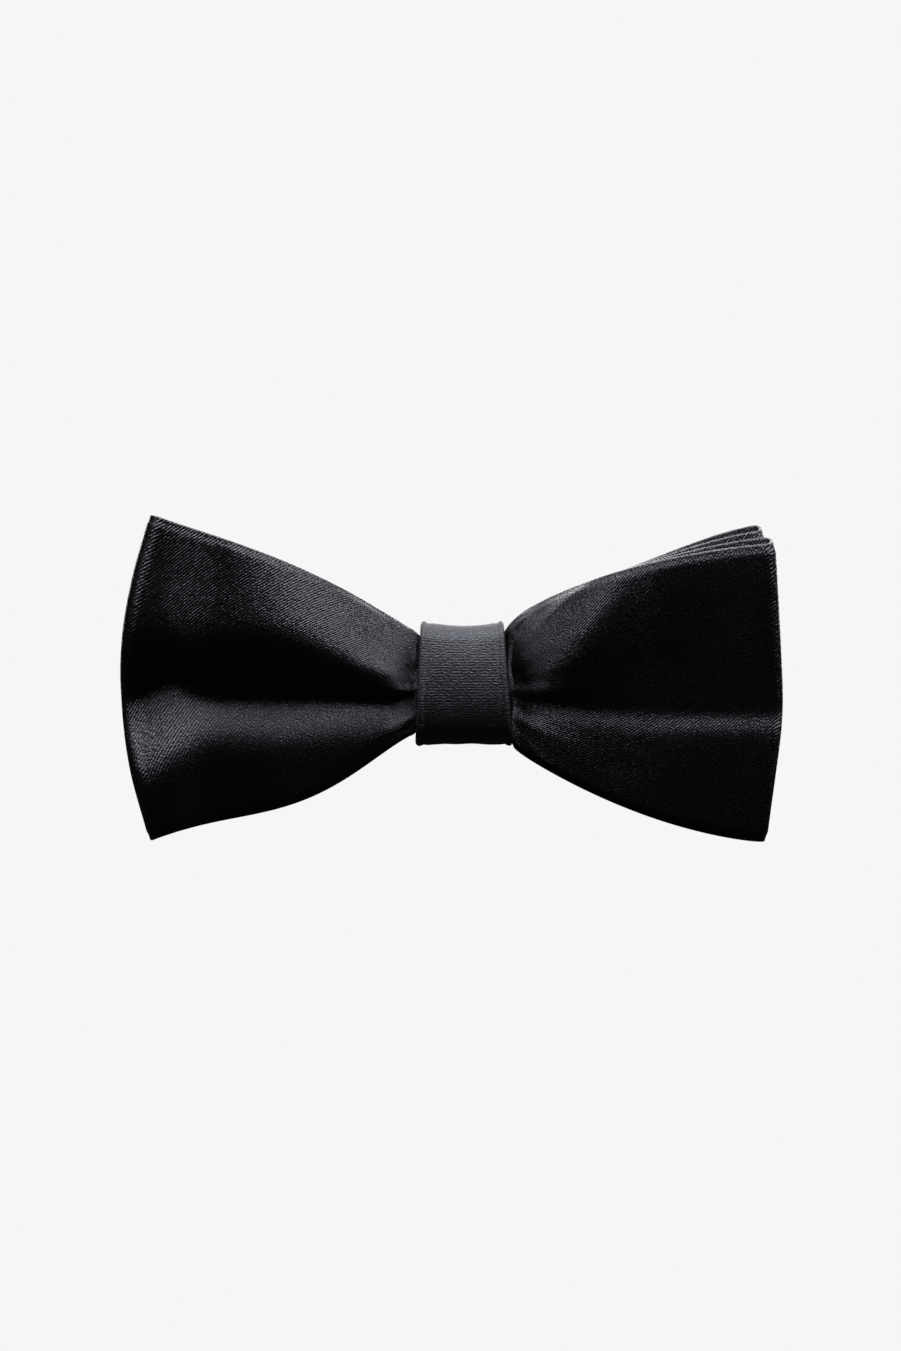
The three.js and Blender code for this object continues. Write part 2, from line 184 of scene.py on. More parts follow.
def edge_curve(x, start, end, mouth, corner, lead, full, power, neck):
    """A wing's edge, x out from the knot's middle: a taper from the knot's mouth to the wing's corner
    with a full curve on it, and inside the knot the way in to the pinched middle, which starts at neck."""
    t = np.clip((x - mouth) / (corner - mouth), 0, 1.05)
    bow_out = full * np.sin(np.pi * np.clip(t, 0, 1) ** lead) ** power
    wing = start + (end - start) * (t + bow_out)
    inside = mix(NECK_HALF, start, smooth(x, neck, mouth))
    return np.where(x < mouth, inside, wing)


def top_edge(side, x):
    """Height of a wing's upper edge above the knot's middle."""
    if side < 0:
        return edge_curve(x, 9.9, 30.6, mouth=9.8, corner=56.8, lead=0.80, full=0.105, power=1.2, neck=7.4)
    return edge_curve(x, 11.4, 25.2, mouth=8.9, corner=56.0, lead=0.756, full=0.24, power=0.8, neck=6.0)


def bottom_edge(side, x):
    """Depth of a wing's lower edge below the knot's middle."""
    if side < 0:
        return edge_curve(x, 9.5, 28.6, mouth=9.8, corner=57.1, lead=0.75, full=0.20, power=2.0, neck=7.8)
    return edge_curve(x, 11.8, 28.6, mouth=9.0, corner=54.8, lead=1.0, full=0.205, power=0.7, neck=7.8)


def wing_end(side, w):
    """How far out a wing's folded end stands, w from -1 at its foot to 1 at its top."""
    if side < 0:
        return 57.2 + 5.1 * np.maximum(1 - w * w, 0) ** 1.3
    return 57.9 - 3.5 * ramp(-w - 0.12, 0.08) - 1.5 * ramp(w + 0.12, 0.08)


def ramp(distance, width):
    """Zero before the line, then one millimetre forward per millimetre past it, with a rounded start."""
    return width * np.logaddexp(0, distance / width)


def swell_of(side, x, z):
    """How far the front layer stands forward of its base, as slopes that change at three long lines:
    the crest of the lower lobe, the valley above it, and the crest of the upper lobe."""
    if side < 0:
        valley = -3.0 - 1.2 * np.exp(-(x - 9) / 5) + 2.8 * np.exp(-(((x - 53.5) / 5.0) ** 2))
        low_crest = mix(-6.2, -9.6, smooth(x, 9, 34)) - 8.5 * smooth(x, 42, 62)
        high_crest = mix(1.0, 9.0, smooth(x, 8, 36))
        foot_slope = 0.16
        ridge_slope = mix(0.64, 0.50, smooth(x, 12, 40))
        crest_round = 1.5
        wall_slope = mix(0.62, 0.42, smooth(x, 12, 34))
        top_round = 1.5
        lean = mix(0.66, 0.32, smooth(x, 14, 27)) - 0.32 * smooth(x, 25, 46)
        turn_away = 1.6 * smooth(x, 44, 60) ** 2 * smooth(-z, -2, 8)
    else:
        valley = -3.6 - 2.3 * smooth(x, 8, 36)
        low_crest = -6.1 - 2.3 * smooth(x, 8, 36)
        high_crest = mix(0.5, 22.0, smooth(x, 6, 40))
        foot_slope = 0.12
        ridge_slope = mix(0.24, 0.40, smooth(x, 12, 45))
        crest_round = 0.8
        wall_slope = mix(0.60, 0.14, smooth(x, 12, 32))
        top_round = 3.2
        lean = mix(0.68, 0.12, smooth(x, 16, 35))
        turn_away = 3.0 * smooth(x, 20, 62)
    height = (
        foot_slope * (z - low_crest)
        - (foot_slope + ridge_slope) * ramp(z - low_crest, crest_round)
        + (ridge_slope + wall_slope) * ramp(z - valley, 0.35)
        - (wall_slope + lean) * ramp(z - high_crest, top_round)
    )
    rise = valley - low_crest
    at_valley = foot_slope * rise - (foot_slope + ridge_slope) * ramp(rise, crest_round)
    return (height - at_valley) * smooth(x, 8.0, 15) - turn_away


def creases_of(side, x, z):
    """Small pleats that run out of the knot and fade along the wing, a slow unevenness farther out,
    and on the right the pocket where the cloth tucks in under the knot's edge."""
    angle = np.arctan2(z + 1.5, np.maximum(x - 2, 0.5))
    fade = smooth(x, 8.6, 10.5) * np.exp(-np.maximum(x - 10, 0) / 7.5)
    pleats = 0.22 * np.sin(11 * angle + (0.7 if side < 0 else 2.1)) + 0.11 * np.sin(23 * angle + 1.3)
    wander = 0.12 * np.sin(x / 6.1 + z / 9.3) + 0.08 * np.sin(x / 3.7 - z / 5.2 + 1.1)
    pocket = 0.0
    if side > 0:
        fold = 9.2 + 3 * (np.maximum(z + 1, 0) / 9) ** 2
        pocket = -1.1 * (1 - np.exp(-(np.maximum(fold - x, 0) / 1.3) ** 1.5)) * smooth(z, -1, 4)
    return fade * pleats + wander * smooth(x, 12, 26) + pocket


def layer_depth(side, layer, x, z):
    """Where a layer's middle lies, front to back, 0 to 3 counted from the front."""
    mouth = mix(PINCH_DEPTH[layer], END_DEPTH[layer], 0.5)
    base = mix(PINCH_DEPTH[layer], mouth, smooth(x, 8.3, 13.5))
    base = mix(base, END_DEPTH[layer] - 1.6 * LAYER_SWELL[layer], smooth(x, 11, 40))
    base = mix(base, END_DEPTH[layer], smooth(x, 40, 60))
    follow = mix(PINCH_SWELL[layer], LAYER_SWELL[layer], smooth(x, 10, 30))
    return base - follow * (swell_of(side, x, z) + creases_of(side, x, z))


def layer_height(side, layer, x, w, inset):
    """Height of a layer, w from -1 at its lower edge to 1 at its upper edge, both drawn in by inset.
    On the right the layers fan out upwards."""
    fan = (RIGHT_FAN if side > 0 else 0.0) * layer / 3 * smooth(x, 25, 56)
    return mix(inset - bottom_edge(side, x), top_edge(side, x) + fan - inset, (w + 1) / 2)


def strip_route(steps_back=70, steps_turn=14, steps_front=70):
    """Side, share of the way out, and share of the turn to the back, for each station of a loop."""
    back = [(1.0, a, 1.0) for a in np.linspace(0.012, 1, steps_back)]
    turn = [(1.0, 1.0, t) for t in np.linspace(1, 0, steps_turn + 1)[1:-1]]
    front = [(1.0, a, 0.0) for a in np.linspace(1, 0, steps_front)]
    half = back + turn + front
    left = [(-s, a, t) for s, a, t in half]
    return left + half[::-1][1:]


def strip_middle(loop, station, w, inset):
    """A loop's middle surface at one station, for arrays of heights w and distances in from the edge."""
    side, share, turn = station
    front, behind = 2 * loop, 2 * loop + 1
    end = wing_end(side, w) - LOOP_STEP * loop
    guess = layer_height(side, front, end, w, inset)
    radius = (layer_depth(side, behind, end, guess) - layer_depth(side, front, end, guess)) / 2
    fold = end - STRIP_HALF - radius * FOLD_FLATNESS
    x = fold * share + FOLD_FLATNESS * radius * math.sin(math.pi * turn)
    across = (1 - math.cos(math.pi * turn)) / 2
    z = mix(layer_height(side, front, x, w, inset), layer_height(side, behind, x, w, inset), across)
    inner = np.minimum(x, fold)
    depth = mix(layer_depth(side, front, inner, z), layer_depth(side, behind, inner, z), across)
    return np.stack([side * x, depth, z], axis=-1)


def section_points(half, inset, count=64, cap=7):
    """Corners round a strip's flat section: height w, distance out, and how far in from its edge."""
    w = np.sin(np.linspace(-1, 1, count) * math.pi / 2) * 0.5 + np.linspace(-1, 1, count) * 0.5
    edge = max(half - EDGE_PRESSED, THINNEST_EDGE)
    thick = mix(half, edge, smooth(np.abs(w), 0.94, 1.0))
    angles = np.linspace(0, math.pi, cap + 2)[1:-1]
    rows = [(a, t, inset) for a, t in zip(w, thick)]
    rows += [(1.0, edge * math.cos(t), inset - edge * math.sin(t)) for t in angles]
    rows += [(a, -t, inset) for a, t in zip(w[::-1], thick[::-1])]
    rows += [(-1.0, -edge * math.cos(t), inset - edge * math.sin(t)) for t in angles]
    return np.array(rows)


def strip_surface(loop, route, section):
    """Stations by corners by xyz, and each station's distance along the strip, in millimetres."""
    middles = np.array([strip_middle(loop, station, section[:, 0], section[:, 2]) for station in route])
    run = np.gradient(middles, axis=0)
    run[:, :, 2] = 0
    run /= np.linalg.norm(run, axis=2, keepdims=True)
    points = middles.copy()
    points[:, :, 0] += run[:, :, 1] * section[:, 1]
    points[:, :, 1] -= run[:, :, 0] * section[:, 1]
    steps = np.linalg.norm(np.diff(middles[:, len(section) // 4], axis=0), axis=1)
    along = np.concatenate([[0], np.cumsum(steps)])
    return points, along


def mesh_from_grid(name, points, uv, close_rows):
    """A mesh from a grid of points whose columns close on themselves. uv is in millimetres."""
    rows, columns = points.shape[:2]
    last = rows if close_rows else rows - 1
    faces = []
    corners = []
    for i in range(last):
        for j in range(columns):
            k, n = (i + 1) % rows, (j + 1) % columns
            faces.append((i * columns + j, i * columns + n, k * columns + n, k * columns + j))
            corners.append(((i, j), (i, j + 1), (i + 1, j + 1), (i + 1, j)))
    mesh = bpy.data.meshes.new(name)
    mesh.from_pydata([Vector(p) * MM for p in points.reshape(-1, 3)], [], faces)
    layer = mesh.uv_layers.new(name="cloth")
    along, around = uv
    flat = [(along[i], around[j]) for face in corners for i, j in face]
    layer.data.foreach_set("uv", np.array(flat, dtype=np.float32).ravel())
    mesh.polygons.foreach_set("use_smooth", [True] * len(faces))
    mesh.update()
    piece = bpy.data.objects.new(name, mesh)
    scene.collection.objects.link(piece)
    return piece


def faces_outward(piece):
    """Merges doubles and turns every face outwards."""
    shape = bmesh.new()
    shape.from_mesh(piece.data)
    bmesh.ops.remove_doubles(shape, verts=shape.verts, dist=1e-7)
    bmesh.ops.recalc_face_normals(shape, faces=shape.faces)
    shape.to_mesh(piece.data)
    shape.free()
    piece.data.update()


def distances_round(points, last):
    """Each corner's distance round the strip's section, halfway out on a wing. The last side is given."""
    sides = np.linalg.norm(np.diff(points[len(points) // 4], axis=0), axis=1)
    return np.concatenate([[0], np.cumsum(sides), [sides.sum() + last]])


def tube_from_strip(name, outer, inner, along):
    """A flat tube with open ends: its outside from end to end, then its inside back again."""
    points = np.concatenate([outer, inner[::-1]])
    row_uv = np.concatenate([along, along[::-1], along[:1]])
    piece = mesh_from_grid(name, points, (row_uv, distances_round(outer, 0.3)), close_rows=True)
    faces_outward(piece)
    return piece


def satin_material(name, line_angle, rough=0.36, shine=0.5, lines=0.45, uneven=1.3, fine=2.4):
    """Black polyester satin: smooth filament threads give a soft, broad, cool sheen on a nearly black
    ground. Its twill lines are 0.4 mm apart on the cloth, and are drawn 0.5 mm apart so that they show.
    Thicker and thinner filaments make a short grain along the lines, brighter here and duller there."""
    material, tree = new_material(name)
    cloth = add_node(tree, "ShaderNodeUVMap", {"uv_map": "cloth"})
    turned = add_node(
        tree,
        "ShaderNodeMapping",
        {"Rotation": (0, 0, math.radians(line_angle))},
        {"Vector": cloth.outputs[0]},
    )
    twill = add_node(
        tree,
        "ShaderNodeTexWave",
        {"bands_direction": "X", "Scale": 0.628, "Distortion": 1.2, "Detail Scale": 2.5},
        {"Vector": turned.outputs[0]},
    )
    drawn_out = add_node(
        tree, "ShaderNodeMapping", {"Scale": (1.0, 0.7, 1.0)}, {"Vector": turned.outputs[0]}
    )
    grain = add_node(
        tree,
        "ShaderNodeTexNoise",
        {"Scale": fine, "Detail": 2.0, "Roughness": 0.6},
        {"Vector": drawn_out.outputs[0]},
    )
    ribs = add_node(
        tree,
        "ShaderNodeMath",
        {"operation": "MULTIPLY_ADD", 1: lines, 2: 0.0},
        {0: twill.outputs["Fac"]},
    )
    height = add_node(
        tree,
        "ShaderNodeMath",
        {"operation": "MULTIPLY_ADD", 1: uneven},
        {0: grain.outputs["Fac"], 2: ribs.outputs[0]},
    )
    bump = add_node(
        tree,
        "ShaderNodeBump",
        {"Strength": 0.7, "Distance": 0.0002},
        {"Height": height.outputs[0]},
    )
    gloss = add_node(
        tree,
        "ShaderNodeMapRange",
        {"From Min": 0.3, "From Max": 0.7, "To Min": rough - 0.10, "To Max": rough + 0.04},
        {"Value": grain.outputs["Fac"]},
    )
    tint = add_node(
        tree,
        "ShaderNodeMix",
        {"data_type": "RGBA", 6: linear("#010102"), 7: linear("#040406")},
        {0: twill.outputs["Fac"]},
    )
    surface = add_node(
        tree,
        "ShaderNodeBsdfPrincipled",
        {
            "IOR": 1.5,
            "Specular IOR Level": shine,
            "Specular Tint": linear("#e9edfb"),
        },
        {
            "Base Color": tint.outputs[2],
            "Roughness": gloss.outputs[0],
            "Normal": bump.outputs[0],
        },
    )
    add_node(tree, "ShaderNodeOutputMaterial", links={"Surface": surface.outputs[0]})
    return material


bow_satin = satin_material("black_satin_bow", 38)
route = strip_route()
outer_section = section_points(STRIP_HALF, STRIP_HALF - EDGE_PRESSED)
inner_section = section_points(STRIP_HALF - SATIN_WALL, STRIP_HALF - EDGE_PRESSED + SATIN_WALL)
for loop, name in enumerate(("front", "back")):
    outer, along = strip_surface(loop, route, outer_section)
    inner, _ = strip_surface(loop, route, inner_section)
    cover = tube_from_strip(name + "_bow_satin", outer, inner, along)
    cover.data.materials.append(bow_satin)
    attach(cover, "bow")
    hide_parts(name + "_bow_cover", name + "_bow_interlining")


# ---- Bow interlining ----
# A strip of stiff cotton canvas lies inside each satin tube and keeps its folds round. It is cut a
# little narrower than the tube, follows it from end to end, and is caught by the gather thread.

CANVAS_HALF = 0.2
CANVAS_GAP = 0.4  # between the canvas's edge and the inside of the tube's wall


def flat_strip(name, points, along, around):
    """A solid strip: rings of corners from end to end, with its two ends closed."""
    closed = mesh_from_grid(name, points, (along, around), close_rows=False)
    shape = bmesh.new()
    shape.from_mesh(closed.data)
    bmesh.ops.holes_fill(shape, edges=[e for e in shape.edges if e.is_boundary])
    shape.to_mesh(closed.data)
    shape.free()
    faces_outward(closed)
    return closed


def canvas_material(name):
    """Undyed cotton canvas: a plain weave of matt threads, two to the millimetre, drawn at 0.5 mm."""
    material, tree = new_material(name)
    cloth = add_node(tree, "ShaderNodeUVMap", {"uv_map": "cloth"})
    warp, weft = (
        add_node(
            tree,
            "ShaderNodeTexWave",
            {"bands_direction": direction, "Scale": 0.63, "Distortion": 0.3},
            {"Vector": cloth.outputs[0]},
        )
        for direction in ("X", "Y")
    )
    weave = add_node(
        tree,
        "ShaderNodeMath",
        {"operation": "MULTIPLY"},
        {0: warp.outputs["Fac"], 1: weft.outputs["Fac"]},
    )
    bump = add_node(
        tree, "ShaderNodeBump", {"Strength": 0.6, "Distance": 0.00015}, {"Height": weave.outputs[0]}
    )
    tint = add_node(
        tree,
        "ShaderNodeMix",
        {"data_type": "RGBA", 6: linear("#a89f8c"), 7: linear("#d8d2c4")},
        {0: weave.outputs[0]},
    )
    surface = add_node(
        tree,
        "ShaderNodeBsdfPrincipled",
        {"Roughness": 0.95, "Sheen Weight": 0.2},
        {"Base Color": tint.outputs[2], "Normal": bump.outputs[0]},
    )
    add_node(tree, "ShaderNodeOutputMaterial", links={"Surface": surface.outputs[0]})
    return material


canvas = canvas_material("cotton_canvas")
canvas_section = section_points(CANVAS_HALF, STRIP_HALF + SATIN_WALL + CANVAS_GAP, count=72, cap=3)
canvas_route = strip_route(steps_back=60, steps_turn=12, steps_front=60)
for loop, name in enumerate(("front", "back")):
    points, along = strip_surface(loop, canvas_route, canvas_section)
    piece = flat_strip(name + "_bow_canvas", points, along, distances_round(points, 0.2))
    piece.data.materials.append(canvas)
    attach(piece, "bow")
    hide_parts(name + "_bow_interlining")

# ---- Gather thread ----
# Waxed black polyester thread, wound three times round the pinched middle of both loops and drawn
# tight. The knot hides it.

GATHER_DIAMETER = 0.5
GATHER_TURNS = 3
GATHER_PITCH = 0.9
GATHER_BACK = -4.3
GATHER_FRONT = -12.8
GATHER_HALF = 8.75  # half height of a turn, just clear of the pinched cloth


def thread_material(name):
    """Black spun polyester thread: three plies twisted together, dull, with a faint shine on each ply."""
    material, tree = new_material(name)
    cloth = add_node(tree, "ShaderNodeUVMap", {"uv_map": "cloth"})
    turned = add_node(
        tree, "ShaderNodeMapping", {"Rotation": (0, 0, math.radians(35))}, {"Vector": cloth.outputs[0]}
    )
    plies = add_node(
        tree,
        "ShaderNodeTexWave",
        {"bands_direction": "X", "Scale": 0.9, "Distortion": 0.4},
        {"Vector": turned.outputs[0]},
    )
    bump = add_node(
        tree, "ShaderNodeBump", {"Strength": 0.7, "Distance": 0.0001}, {"Height": plies.outputs["Fac"]}
    )
    tint = add_node(
        tree,
        "ShaderNodeMix",
        {"data_type": "RGBA", 6: linear("#08080a"), 7: linear("#1b1b1e")},
        {0: plies.outputs["Fac"]},
    )
    surface = add_node(
        tree,
        "ShaderNodeBsdfPrincipled",
        {"Roughness": 0.55, "Sheen Weight": 0.2},
        {"Base Color": tint.outputs[2], "Normal": bump.outputs[0]},
    )
    add_node(tree, "ShaderNodeOutputMaterial", links={"Surface": surface.outputs[0]})
    return material


def thread_along(name, points, diameter, sides=8):
    """A thread that follows points, in millimetres, with its ends closed."""
    points = np.array(points, dtype=float)
    run = np.gradient(points, axis=0)
    run /= np.linalg.norm(run, axis=1, keepdims=True)
    side = np.cross(run[0], (0.3, 0.5, 0.8))
    rings = []
    for place, ahead in zip(points, run):
        side = side - ahead * np.dot(side, ahead)
        side /= np.linalg.norm(side)
        up = np.cross(ahead, side)
        angles = np.linspace(0, 2 * math.pi, sides, endpoint=False)
        ring = [place + (math.cos(a) * side + math.sin(a) * up) * diameter / 2 for a in angles]
        rings.append(ring)
    along = np.concatenate([[0], np.cumsum(np.linalg.norm(np.diff(points, axis=0), axis=1))])
    around = np.linspace(0, math.pi * diameter, sides + 1)
    return flat_strip(name, np.array(rings), along, around)


def rounded_loop(near, far, half_height, radius, per_corner=8, per_side=20):
    """Depth, height and the outward direction round a rectangle with rounded corners, from its back."""
    corners = ((near - radius, half_height - radius), (far + radius, half_height - radius))
    corners += ((far + radius, radius - half_height), (near - radius, radius - half_height))
    outline = []
    for quarter, (depth, height) in enumerate(corners):
        for t in np.linspace(0, 1, per_corner + 1):
            angle = (quarter + t) * math.pi / 2
            towards = (math.cos(angle), math.sin(angle))
            outline.append((depth + radius * towards[0], height + radius * towards[1], *towards))
        ahead = corners[(quarter + 1) % 4]
        towards = (round(math.cos(angle)), round(math.sin(angle)))
        start = np.array(outline[-1][:2])
        end = np.array(ahead) + radius * np.array(towards)
        for t in np.linspace(0, 1, per_side + 1)[1:-1]:
            outline.append((*mix(start, end, t), *towards))
    return np.array(outline)


thread = thread_material("black_sewing_thread")
gather_loop = rounded_loop(GATHER_BACK, GATHER_FRONT, GATHER_HALF, 1.5, per_corner=6, per_side=6)
turns = [row for _ in range(GATHER_TURNS) for row in gather_loop]
windings = [
    ((i / len(gather_loop) - GATHER_TURNS / 2) * GATHER_PITCH, row[0], row[1])
    for i, row in enumerate(turns)
]
gather = thread_along("gather_winding", windings, GATHER_DIAMETER)
gather.data.materials.append(thread)
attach(gather, "bow")
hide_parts("gather_thread")

# ---- Knot interlining ----
# A short band of the same canvas, wrapped round the gathered middle under the satin. It gives the
# knot its square shoulders.

KNOT_DEPTH = 15.4
KNOT_HALF = 11.3  # half its height
KNOT_CORNER = 3.2
KNOT_WALL = 0.9  # the satin wrap, pressed over its folded edges
KNOT_CANVAS = 0.5
KNOT_CANVAS_REACH = 0.88  # share of the knot's width that the canvas takes
KNOT_CANVAS_GAP = 0.3


def knot_edge(side, z):
    """How far out the knot's folded edge stands at height z. The knot widens towards its foot."""
    return np.where(side < 0, 8.5 - 0.045 * z, 7.85 - 0.075 * z)


def knot_surface(loop, across, inward):
    """Points of the knot for every place round it and every corner of its wall's section."""
    depth, height, out_depth, out_height = (loop[:, i : i + 1] for i in range(4))
    y = depth - out_depth * inward
    z = height - out_height * inward
    x = across * knot_edge(across, z)
    front = smooth(-y, 0.5 * KNOT_DEPTH, KNOT_DEPTH)
    top = smooth(z, 0.3 * KNOT_HALF, KNOT_HALF)
    foot = smooth(-z, 0.3 * KNOT_HALF, KNOT_HALF)
    crown = 0.8 - 0.08 * z - 0.014 * z**2 - 0.012 * np.minimum(z + 2, 0) ** 2
    hollow = np.clip(1 - across**2, 0, 1)
    wrinkle = 0.06 * np.sin(x * 0.35 + z * 0.21 + 0.6) + 0.02 * np.sin(x * 1.1 - z * 0.5 + 2.0)
    y = y - front * (crown + wrinkle)
    z = z - top * 0.85 * hollow + foot * (0.30 * hollow + 0.06 * np.sin(x * 1.1))
    return np.stack([x, y, z], axis=-1)


def wall_section(outer, wall, reach, columns=40, cap=5, hem=0.0):
    """Corners across a wrapped band: its outside, a rounded edge, its inside and the other edge.
    A hem makes the inside of both edges thicker."""
    half = (wall + hem) / 2
    run = np.linspace(-1, 1, columns) * reach
    turn = np.linspace(0, math.pi, cap + 2)[1:-1]
    lip = 0.055 * reach
    rows = [(u * (1 - lip), outer) for u in run]
    edge = [reach * (1 - lip) + lip * math.sin(t) * reach for t in turn]
    rows += [(place, outer + half - half * math.cos(t)) for place, t in zip(edge, turn)]
    rows += [(u * (1 - lip), outer + wall + hem * smooth(abs(u), 0.945, 0.985)) for u in run[::-1]]
    rows += [(-place, outer + half + half * math.cos(t)) for place, t in zip(edge, turn)]
    return np.array(rows)


def ring_piece(name, loop, section, relief=0.0):
    """A band wrapped round the knot, closed on itself. Relief stands out from its surface."""
    inward = section[None, :, 1] - relief
    points = knot_surface(loop, section[None, :, 0], inward)
    steps = np.linalg.norm(np.diff(np.concatenate([loop, loop[:1]])[:, :2], axis=0), axis=1)
    along = np.concatenate([[0], np.cumsum(steps)])
    ring = points[0]
    edges = np.linalg.norm(np.diff(np.concatenate([ring, ring[:1]]), axis=0), axis=1)
    around = np.concatenate([[0], np.cumsum(edges)])
    piece = mesh_from_grid(name, points, (along, around), close_rows=True)
    faces_outward(piece)
    return piece


knot_loop = rounded_loop(0, -KNOT_DEPTH, KNOT_HALF, KNOT_CORNER, per_corner=12, per_side=48)
canvas_wall = wall_section(
    KNOT_WALL + KNOT_CANVAS_GAP, KNOT_CANVAS, KNOT_CANVAS_REACH, columns=16, cap=3
)
canvas_ring = ring_piece("knot_canvas", knot_loop, canvas_wall)
canvas_ring.data.materials.append(canvas)
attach(canvas_ring, "bow")
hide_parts("knot_interlining")

# ---- Knot wrap ----
# A band of the same satin, folded in at both edges, goes once round the middle. It is cut across
# the cloth, so its threads run level, and its top edge dips between the two folded corners.

KNOT_HALF_WIDTH = 8.3
HEM = 0.8  # how much thicker the wrap is where its edge is folded in
EDGE_ROLL = 0.13
EDGE_GROOVE = 0.12
SLACK = 0.05  # a slack place left of the middle


def bump_at(place, middle, width):
    """A rounded bump of height one round a middle."""
    return np.exp(-(((place - middle) / width) ** 2))


knot_section = wall_section(0.0, KNOT_WALL, 1.0, columns=96, hem=HEM)
from_edge = KNOT_HALF_WIDTH * (1 - np.abs(knot_section[:, 0]))
outside = np.where(knot_section[:, 1] < KNOT_WALL / 2, 1.0, 0.0)
relief = EDGE_ROLL * bump_at(from_edge, 0.75, 0.35) - EDGE_GROOVE * bump_at(from_edge, 1.5, 0.4)
relief += SLACK * bump_at(knot_section[:, 0], -0.52, 0.09)
knot = ring_piece("knot_satin", knot_loop, knot_section, (relief * outside)[None, :])
knot_satin = satin_material("black_satin_knot", 0, rough=0.54, shine=0.75, lines=0.2, uneven=1.7, fine=2.8)
knot.data.materials.append(knot_satin)
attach(knot, "bow")
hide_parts("knot_wrap")

# ---- Knot seam stitch ----
# The wrap's end is turned in and whipped down by hand along the lower corner of the knot's back,
# in small slanting stitches of the same thread.

STITCH_DIAMETER = 0.35
WHIP_COUNT = 9
WHIP_PITCH = 1.5
WHIP_SLANT = 0.9
WHIP_START = 32  # degrees down from straight back
WHIP_SWEEP = 26


def joined(name, pieces):
    """Several objects joined into one."""
    bpy.ops.object.select_all(action="DESELECT")
    for piece in pieces:
        piece.select_set(True)
    bpy.context.view_layer.objects.active = pieces[0]
    bpy.ops.object.join()
    whole = bpy.context.object
    whole.name = name
    return whole


def corner_place(x, angle, reach):
    """A place round the lower corner of the knot's back, at an angle down from straight back."""
    turn = math.radians(angle)
    y = -KNOT_CORNER + reach * math.cos(turn)
    z = KNOT_CORNER - KNOT_HALF - reach * math.sin(turn)
    return (x, y, z)


whips = []
for i in range(WHIP_COUNT):
    x = (i - WHIP_COUNT // 2) * WHIP_PITCH
    arch = np.linspace(0, 1, 7)
    lift = KNOT_CORNER - 0.1 + 0.28 * np.sin(math.pi * arch)
    route = [
        corner_place(x + WHIP_SLANT * t, WHIP_START + WHIP_SWEEP * t, r) for t, r in zip(arch, lift)
    ]
    whips.append(thread_along("knot_whip_stitches", route, STITCH_DIAMETER))
seam = joined("knot_whip_stitches", whips)
seam.data.materials.append(thread)
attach(seam, "bow")
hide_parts("knot_seam_stitch")

# ---- Neckband, short side ----
# The band is a bonded tube of satin, pressed flat, 16 mm wide, with its seam on the neck side. On the
# wearer's right it runs from the knot to the eye, turns round the eye's bar and is sewn back on itself.

BAND_HALF = 8.0  # half its width
BAND_THICK = 1.3
BAND_DEPTH = -2.7  # where its middle lies inside the knot
SEAM_GROOVE = 0.22
EDGE_FULLNESS = 0.05
CLOTH_WAVE = 0.05
# From the knot's middle the band runs straight across the front, round a quarter of a circle,
# straight along the side of the neck, and round a second quarter at the back.
FRONT_RUN = 10
ROUND = 44
SIDE_RUN = 46
QUARTER = ROUND * math.pi / 2
TURN_RADIUS = 1.8  # round a metal bar
LAYER_PITCH = 1.7  # between two layers of band that lie together
EYE_AT = 183  # the eye's distance along the band
SEWN_BACK = 10  # how far the sewn end comes back from the eye


def band_bends(distance):
    """How far the band has turned in its first and second quarter, after a distance."""
    first = min(max((distance - FRONT_RUN) / ROUND, 0), math.pi / 2)
    second = min(max((distance - FRONT_RUN - QUARTER - SIDE_RUN) / ROUND, 0), math.pi / 2)
    return first, second


def band_place(distance, inward=0.0):
    """Where the band's middle is after a distance from the knot's middle, on the side of +X."""
    first, second = band_bends(distance)
    straight = min(max(distance - FRONT_RUN - QUARTER, 0), SIDE_RUN)
    x = min(distance, FRONT_RUN) + ROUND * math.sin(first) - ROUND * (1 - math.cos(second))
    y = BAND_DEPTH + ROUND * (1 - math.cos(first)) + straight + ROUND * math.sin(second)
    heading = first + second
    return x - math.sin(heading) * inward, y + math.cos(heading) * inward


def band_run(start, end, step, inward_at=lambda distance: 0.0):
    """Places along the band about a step apart, moved towards the neck by inward_at."""
    count = max(2, round(abs(end - start) / step) + 1)
    return [band_place(s, inward_at(s)) for s in np.linspace(start, end, count)]


def bar_turn(distance, inward, way, count=16):
    """Half a turn round a bar, from the outer side to the neck side."""
    angles = np.linspace(-math.pi / 2, math.pi / 2, count)
    return [
        band_place(distance + way * TURN_RADIUS * math.cos(a), inward + TURN_RADIUS * math.sin(a))
        for a in angles
    ]


